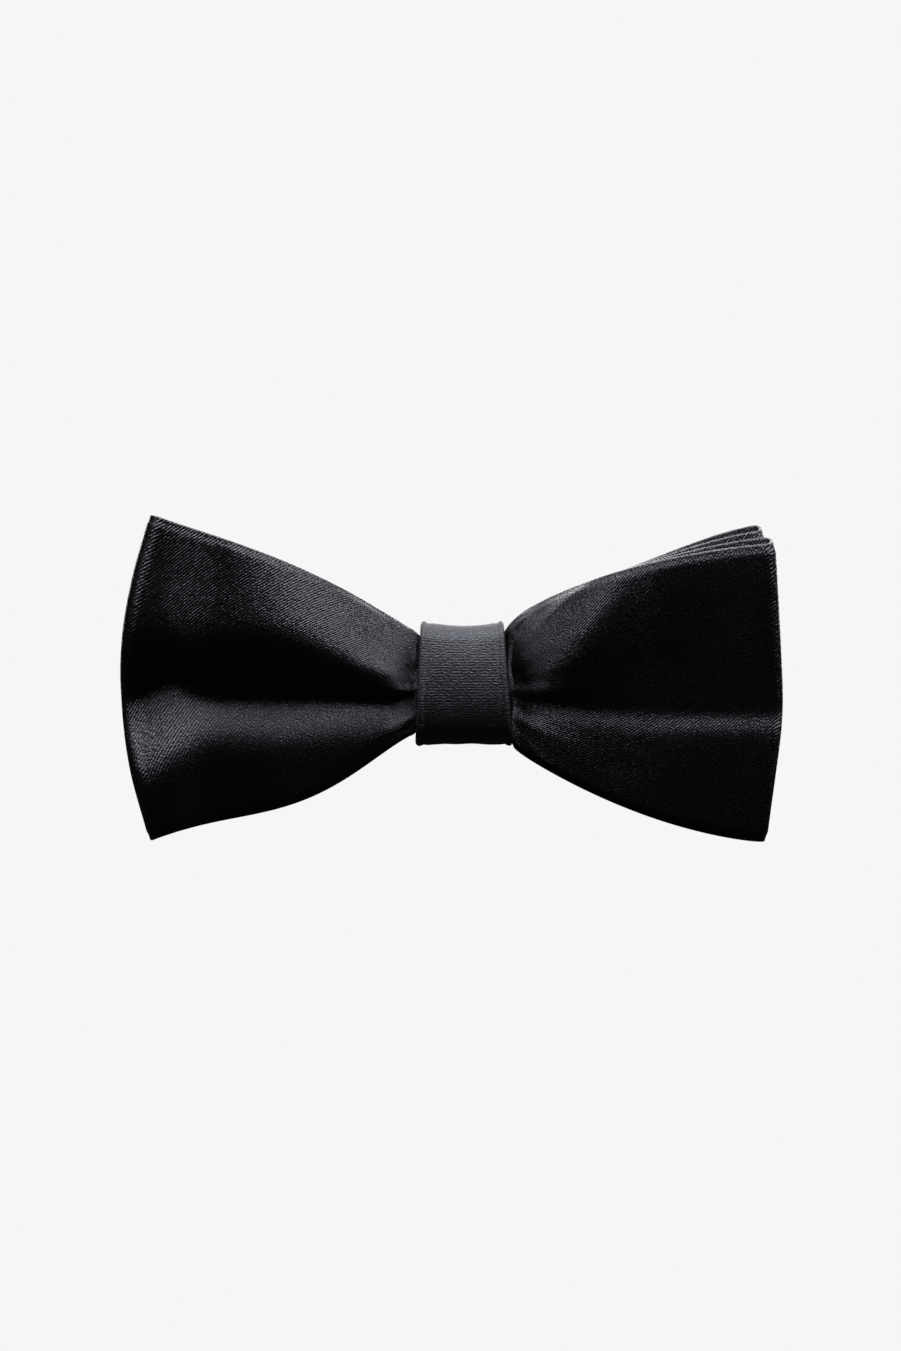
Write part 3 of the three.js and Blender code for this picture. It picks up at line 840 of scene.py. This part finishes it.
def strap_mesh(name, path, side):
    """A flat strap that follows a path, with rounded long edges, a seam on the neck side, closed ends
    and a slight wave in the cloth."""
    path = np.array(path)
    ends = []
    for tip, neighbour in ((path[0], path[1]), (path[-1], path[-2])):
        ahead = (neighbour - tip) / np.linalg.norm(neighbour - tip)
        ends.append([tip + ahead * d for d in (0.0, 0.12, 0.35)])
    path = np.concatenate([ends[0], path[1:-1], ends[1][::-1]])
    run = np.gradient(path, axis=0)
    run /= np.linalg.norm(run, axis=1, keepdims=True)
    inward = np.stack([-run[:, 1], run[:, 0]], axis=1)
    along = np.concatenate([[0], np.cumsum(np.linalg.norm(np.diff(path, axis=0), axis=1))])
    fullness = np.ones(len(path))
    fullness[[0, 1, -2, -1]] = 0.35, 0.8, 0.8, 0.35
    half = BAND_THICK / 2
    flat_half = BAND_HALF - half
    beside_seam = [0.2, 0.5, 1.8, 3.6, 5.4, 6.6, flat_half]
    flat = np.array([-z for z in beside_seam[::-1]] + [0.0] + beside_seam)
    turn = np.linspace(0, math.pi, 7)[1:-1]
    section = [(z, half - SEAM_GROOVE * math.exp(-((z / 0.2) ** 2))) for z in flat]
    section += [(flat_half + half * math.sin(t), half * math.cos(t)) for t in turn]
    section += [(z, -half) for z in flat[::-1]]
    section += [(-flat_half - half * math.sin(t), -half * math.cos(t)) for t in turn]
    section = np.array(section)
    roll = EDGE_FULLNESS * bump_at(np.abs(section[:, 0]), 6.8, 0.6) * np.sign(section[:, 1])
    wave = CLOTH_WAVE * np.sin(along[:, None] / 7.3 + section[None, :, 0] / 5.1)
    offset = (section[None, :, 1] + roll) * fullness[:, None] + wave
    height = section[None, :, 0] * (1 - 0.02 * (1 - fullness[:, None]))
    points = np.empty((len(path), len(section), 3))
    points[:, :, 0] = side * (path[:, 0:1] + inward[:, 0:1] * offset)
    points[:, :, 1] = path[:, 1:2] + inward[:, 1:2] * offset
    points[:, :, 2] = height
    edges = np.linalg.norm(np.diff(np.concatenate([section, section[:1]]), axis=0), axis=1)
    around = np.concatenate([[0], np.cumsum(edges)])
    return flat_strip(name, points, along, around)


def sewn_inward(distance):
    """How far behind the band its sewn end lies: flat on it, and rising to the turn round the bar."""
    return LAYER_PITCH + 0.1 + 1.8 * max((distance - (EYE_AT - SEWN_BACK)) / SEWN_BACK, 0) ** 2


band_satin = satin_material("black_satin_band", 52)
short_path = band_run(0.3, EYE_AT - 0.6, 2.2) + bar_turn(EYE_AT, TURN_RADIUS, 1)
short_path += band_run(EYE_AT - 0.6, EYE_AT - SEWN_BACK, 1.4, sewn_inward)
short_side = strap_mesh("neckband_short_side", short_path, -1)
short_side.data.materials.append(band_satin)
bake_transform(short_side)
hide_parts("neckband_centre", "neckband_left")

# ---- Neckband, long side ----
# The other half runs from the knot through the slide to the hook, turns round the hook's bar and
# comes back doubled to the slide, so the loop between slide and hook takes up the spare length.

HOOK_AT = 181
STRAIGHT_END = FRONT_RUN + QUARTER + SIDE_RUN
SLIDE_AT = 88
HOOK_RISE = 10  # the last stretch before the hook, where the doubled band lifts off


def doubled_inward(distance):
    """How far behind the band its doubled stretch lies, which also rises to the turn round the bar."""
    return LAYER_PITCH + 1.9 * max((distance - (HOOK_AT - HOOK_RISE)) / HOOK_RISE, 0) ** 2


long_path = band_run(0.3, HOOK_AT - 0.6, 2.2) + bar_turn(HOOK_AT, TURN_RADIUS, 1)
long_path += band_run(HOOK_AT - 0.6, STRAIGHT_END + 0.3, 2.2, doubled_inward)
long_side = strap_mesh("neckband_long_side", long_path, 1)
long_side.data.materials.append(band_satin)
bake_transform(long_side)
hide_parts("neckband_centre", "neckband_right", "neckband_doubled")

return_path = band_run(STRAIGHT_END, SLIDE_AT + 3, 1.6, lambda distance: LAYER_PITCH)
return_strap = strap_mesh("neckband_return_strap", return_path, 1)
return_strap.data.materials.append(band_satin)
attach(return_strap, "long_side")
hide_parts("neckband_return")
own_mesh(return_strap)

tail_path = band_run(SLIDE_AT + 2.7, SLIDE_AT + 0.3, 0.8, lambda distance: LAYER_PITCH)
tail_path += bar_turn(SLIDE_AT, LAYER_PITCH + TURN_RADIUS, -1)
tail_path += band_run(SLIDE_AT + 1, SLIDE_AT + 7, 1.2, lambda distance: LAYER_PITCH + 2 * TURN_RADIUS)
tail = strap_mesh("neckband_tail_strap", tail_path, 1)
tail.data.materials.append(band_satin)
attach(tail, "slide")
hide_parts("neckband_tail")

# ---- Bar tacks ----
# The turned ends of the band are sewn down with a dense zigzag of thread across the strap, one behind
# the eye and one behind the slide.

TACK_HALF = 0.8  # half its width along the band
TACK_STITCHES = 27
TACK_PITCH = 0.48
THREAD_LIFT = 0.12


def bar_tack(name, distance, inward, side):
    """A zigzag of thread across the band, on its neck side."""
    lift = inward + BAND_THICK / 2 + THREAD_LIFT
    zigzag = []
    for i in range(TACK_STITCHES):
        for share in (0.0, 0.5):
            swing = TACK_HALF if i % 2 else -TACK_HALF
            swing = swing * (1 - 2 * share)
            x, y = band_place(distance + swing, lift + (THREAD_LIFT if share else 0.0))
            zigzag.append((side * x, y, (i + share - TACK_STITCHES // 2) * TACK_PITCH))
    piece = thread_along(name, zigzag, STITCH_DIAMETER)
    piece.data.materials.append(thread)
    return piece


for name, node, distance, inward, side, body in (
    ("eye_end_tack", "eye_tack", EYE_AT - 7.6, sewn_inward(EYE_AT - 7.6), -1, "short_side"),
    ("slide_end_tack", "slide_tack", SLIDE_AT + 4.4, LAYER_PITCH + 2 * TURN_RADIUS, 1, "slide"),
):
    tack = bar_tack(name, distance, inward, side)
    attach(tack, body)
    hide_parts(node)

# ---- Hook ----
# A stamped steel frame, nickel-plated, on the strap's turn. Its tongue is bent back on the outer side
# and drops through the eye. Every edge is tumbled round before plating.

PLATE = 1.2
FRAME_HALF = 10
WINDOW_HALF = 8.4  # the strap's window
BAR_RADIUS = 0.8
WINDOW_END = 2.9
TONGUE_HALF = 3.0
TONGUE_THINNED = 0.83  # the tongue is pressed a little thinner than the frame
TONGUE_SHOULDER = 0.6
TONGUE_BEND = 10.2
BEND_MIDDLE = 1.4
BEND_STEPS = 10
TONGUE_RETURN = 3.8
FRAME_ROUND = 1.0
WINDOW_ROUND = 0.5
TUMBLED = 0.35


def nickel_material(name):
    """Nickel-plated steel: warm grey, bright, with fine tumbling scratches a tenth of a millimetre wide
    and a thin dull film where fingers don't polish it."""
    material, tree = new_material(name)
    place = add_node(tree, "ShaderNodeTexCoord")
    film = add_node(
        tree, "ShaderNodeTexNoise", {"Scale": 420.0, "Detail": 4.0}, {"Vector": place.outputs["Object"]}
    )
    stretched = add_node(
        tree, "ShaderNodeMapping", {"Scale": (1.0, 1.0, 7.0)}, {"Vector": place.outputs["Object"]}
    )
    scratches = add_node(
        tree, "ShaderNodeTexNoise", {"Scale": 1500.0, "Detail": 2.0}, {"Vector": stretched.outputs[0]}
    )
    dullness = add_node(
        tree, "ShaderNodeMapRange", {"To Min": 0.16, "To Max": 0.34}, {"Value": film.outputs["Fac"]}
    )
    bump = add_node(
        tree,
        "ShaderNodeBump",
        {"Strength": 0.12, "Distance": 0.00005},
        {"Height": scratches.outputs["Fac"]},
    )
    tint = add_node(
        tree,
        "ShaderNodeMix",
        {"data_type": "RGBA", 6: linear("#b9b6ae"), 7: linear("#d3d0c8")},
        {0: film.outputs["Fac"]},
    )
    surface = add_node(
        tree,
        "ShaderNodeBsdfPrincipled",
        {"Metallic": 1.0},
        {"Base Color": tint.outputs[2], "Roughness": dullness.outputs[0], "Normal": bump.outputs[0]},
    )
    add_node(tree, "ShaderNodeOutputMaterial", links={"Surface": surface.outputs[0]})
    return material


def block(name, low, high):
    """A block between two corners, in millimetres, its place in its mesh."""
    bpy.ops.object.select_all(action="DESELECT")
    low, high = Vector(low) * MM, Vector(high) * MM
    bpy.ops.mesh.primitive_cube_add(size=1, location=(low + high) / 2, scale=high - low)
    piece = bpy.context.object
    piece.name = name
    bpy.ops.object.transform_apply(location=True, rotation=True, scale=True)
    return piece


def cut(cuts):
    """In edit mode, cuts right through along planes given as (axis, place in millimetres)."""
    for axis, place in cuts:
        bpy.ops.mesh.select_all(action="SELECT")
        normal = [0, 0, 0]
        normal[axis] = 1
        bpy.ops.mesh.bisect(plane_co=[n * place * MM for n in normal], plane_no=normal)


def pick(piece, kind, wanted):
    """In edit mode, selects the faces or edges whose middle, in millimetres, and self suit wanted."""
    bpy.ops.mesh.select_mode(type=kind)
    bpy.ops.mesh.select_all(action="DESELECT")
    shape = bmesh.from_edit_mesh(piece.data)
    for item in shape.faces if kind == "FACE" else shape.edges:
        middle = sum((v.co for v in item.verts), Vector()) / len(item.verts) / MM
        item.select_set(bool(wanted(middle, item)))
    shape.select_flush_mode()
    bmesh.update_edit_mesh(piece.data)


def punch(piece, x0, x1, half):
    """In edit mode, punches a window through a plate that stands in the XZ plane."""
    pick(piece, "FACE", lambda m, f: x0 < m.x < x1 and abs(m.z) < half and abs(f.normal.y) > 0.9)
    bpy.ops.mesh.bridge_edge_loops()


def through_plate(edge, axis):
    """True for an edge that runs along an axis through a plate's thickness."""
    return abs(edge.verts[0].co[axis] - edge.verts[1].co[axis]) > 0.9 * PLATE * MM


def round_corners(piece, at, offset):
    """In edit mode, rounds the plate's edges that run front to back at the given (x, z) corners."""
    pick(
        piece,
        "EDGE",
        lambda m, e: abs(m.y) < 0.01
        and through_plate(e, 1)
        and any(abs(m.x - x) < 0.01 and abs(abs(m.z) - z) < 0.01 for x, z in at),
    )
    bpy.ops.mesh.bevel(offset=offset * MM, segments=4)


def draw_out(distance):
    """In edit mode, draws the picked face out along X, in millimetres."""
    bpy.ops.mesh.extrude_region_move(TRANSFORM_OT_translate={"value": (distance * MM, 0, 0)})


def finish_metal(piece, node, body, distance, inward, side, softness=TUMBLED):
    """Tumbles the edges round, stands the piece at its bar on the band and gives it its plating."""
    bpy.ops.object.mode_set(mode="OBJECT")
    modifier = piece.modifiers.new("tumbled_edges", "BEVEL")
    modifier.width = softness * MM
    modifier.segments = 3
    modifier.limit_method = "ANGLE"
    modifier.angle_limit = math.radians(40)
    bpy.ops.object.modifier_apply(modifier=modifier.name)
    bpy.ops.object.shade_smooth_by_angle(angle=math.radians(35))
    heading = sum(band_bends(distance))
    x, y = band_place(distance, inward)
    piece.rotation_euler = (0, 0, heading if side > 0 else math.pi - heading)
    piece.location = (side * x * MM, y * MM, 0)
    bpy.ops.object.transform_apply(location=True, rotation=True, scale=True)
    piece.data.materials.append(nickel)
    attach(piece, body)
    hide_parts(node)


nickel = nickel_material("nickel_plated_steel")
hook_reach = WINDOW_END + 2
hook = block("hook_clasp", (-BAR_RADIUS, -PLATE / 2, -FRAME_HALF), (hook_reach, PLATE / 2, FRAME_HALF))
bpy.ops.object.mode_set(mode="EDIT")
cut([(0, x) for x in (BAR_RADIUS, WINDOW_END)])
cut([(2, z) for z in (-WINDOW_HALF, WINDOW_HALF, -TONGUE_HALF, TONGUE_HALF)])
punch(hook, BAR_RADIUS, WINDOW_END, WINDOW_HALF)
round_corners(hook, [(-BAR_RADIUS, FRAME_HALF), (hook_reach, FRAME_HALF)], FRAME_ROUND)
round_corners(hook, [(BAR_RADIUS, WINDOW_HALF), (WINDOW_END, WINDOW_HALF)], WINDOW_ROUND)
pick(hook, "FACE", lambda m, f: f.normal.x > 0.9 and m.x > hook_reach - 0.01 and abs(m.z) < TONGUE_HALF)

draw_out(TONGUE_SHOULDER)
bpy.ops.transform.resize(value=(1, TONGUE_THINNED, 1), center_override=(0, 0, 0))
draw_out(TONGUE_BEND - hook_reach - TONGUE_SHOULDER)
for _ in range(BEND_STEPS):
    draw_out(0)
    bpy.ops.transform.rotate(
        value=math.pi / BEND_STEPS,
        orient_axis="Z",
        center_override=(TONGUE_BEND * MM, -BEND_MIDDLE * MM, 0),
    )
draw_out(-TONGUE_RETURN)
finish_metal(hook, "hook", "hook", HOOK_AT, TURN_RADIUS, 1)

# ---- Eye ----
# The hook's partner: the same stamped and plated steel, with a second window that takes the tongue.

EYE_NEAR = WINDOW_END + 1.6
EYE_FAR = WINDOW_END + 6.6
EYE_HALF = 4.8
EYE_ROUND = 0.8
eye_reach = WINDOW_END + 8.4
eye = block("eye_clasp", (-BAR_RADIUS, -PLATE / 2, -FRAME_HALF), (eye_reach, PLATE / 2, FRAME_HALF))
bpy.ops.object.mode_set(mode="EDIT")
cut([(0, x) for x in (BAR_RADIUS, WINDOW_END, EYE_NEAR, EYE_FAR)])
cut([(2, z) for z in (-WINDOW_HALF, WINDOW_HALF, -EYE_HALF, EYE_HALF)])
punch(eye, BAR_RADIUS, WINDOW_END, WINDOW_HALF)
punch(eye, EYE_NEAR, EYE_FAR, EYE_HALF)
round_corners(eye, [(-BAR_RADIUS, FRAME_HALF), (eye_reach, FRAME_HALF)], FRAME_ROUND)
round_corners(eye, [(BAR_RADIUS, WINDOW_HALF), (WINDOW_END, WINDOW_HALF)], WINDOW_ROUND)
round_corners(eye, [(EYE_NEAR, EYE_HALF), (EYE_FAR, EYE_HALF)], EYE_ROUND)
finish_metal(eye, "eye", "eye", EYE_AT, TURN_RADIUS, -1)

# ---- Adjuster slide ----
# The same plated steel: two outer bars in front of the strap and one middle bar behind it, riveted
# between two end plates. The strap's own stiffness holds the slide where it is pushed.

SLIDE_REACH = 5.0  # from the middle bar to each outer bar, along the strap
OUTER_BAR = -1.8
MIDDLE_BAR = LAYER_PITCH + TURN_RADIUS
BAR_SIDES = 24
RIVET_HEAD = 0.25  # how far a bar's end stands out of its plate
END_PLATE_HALF = 7.6
END_PLATE_DEPTH = (-3.0, 4.7)
END_PLATE_TOP = 0.075  # share of the plate's length left at its neck side
FRONT_ROUND = 2.4
TOP_ROUND = 0.5

plates = []
for end in (-1, 1):
    low, high = sorted((end * WINDOW_HALF, end * (WINDOW_HALF + PLATE)))
    front, back = END_PLATE_DEPTH
    plate = block("end_plate", (-END_PLATE_HALF, front, low), (END_PLATE_HALF, back, high))
    bpy.ops.object.mode_set(mode="EDIT")
    pick(plate, "FACE", lambda m, f: f.normal.y > 0.9)
    bpy.ops.transform.resize(value=(END_PLATE_TOP, 1, 1), center_override=(0, 0, 0))
    pick(plate, "EDGE", lambda m, e: abs(m.x) > SLIDE_REACH and through_plate(e, 2))
    bpy.ops.mesh.bevel(offset=FRONT_ROUND * MM, segments=6)
    pick(plate, "EDGE", lambda m, e: m.y > 4 and through_plate(e, 2))
    bpy.ops.mesh.bevel(offset=TOP_ROUND * MM, segments=4)
    bpy.ops.object.mode_set(mode="OBJECT")
    plates.append(plate)
for x, y in ((-SLIDE_REACH, OUTER_BAR), (SLIDE_REACH, OUTER_BAR), (0, MIDDLE_BAR)):
    bpy.ops.object.select_all(action="DESELECT")
    bpy.ops.mesh.primitive_cylinder_add(
        vertices=BAR_SIDES,
        radius=BAR_RADIUS * MM,
        depth=2 * (WINDOW_HALF + PLATE) * MM + 2 * RIVET_HEAD * MM,
        location=(x * MM, y * MM, 0),
    )
    bpy.ops.object.transform_apply(location=True, rotation=True, scale=True)
    plates.append(bpy.context.object)
slide = joined("adjuster_slide_clasp", plates)
finish_metal(slide, "adjuster_slide", "slide", SLIDE_AT, 0.0, 1, softness=0.25)
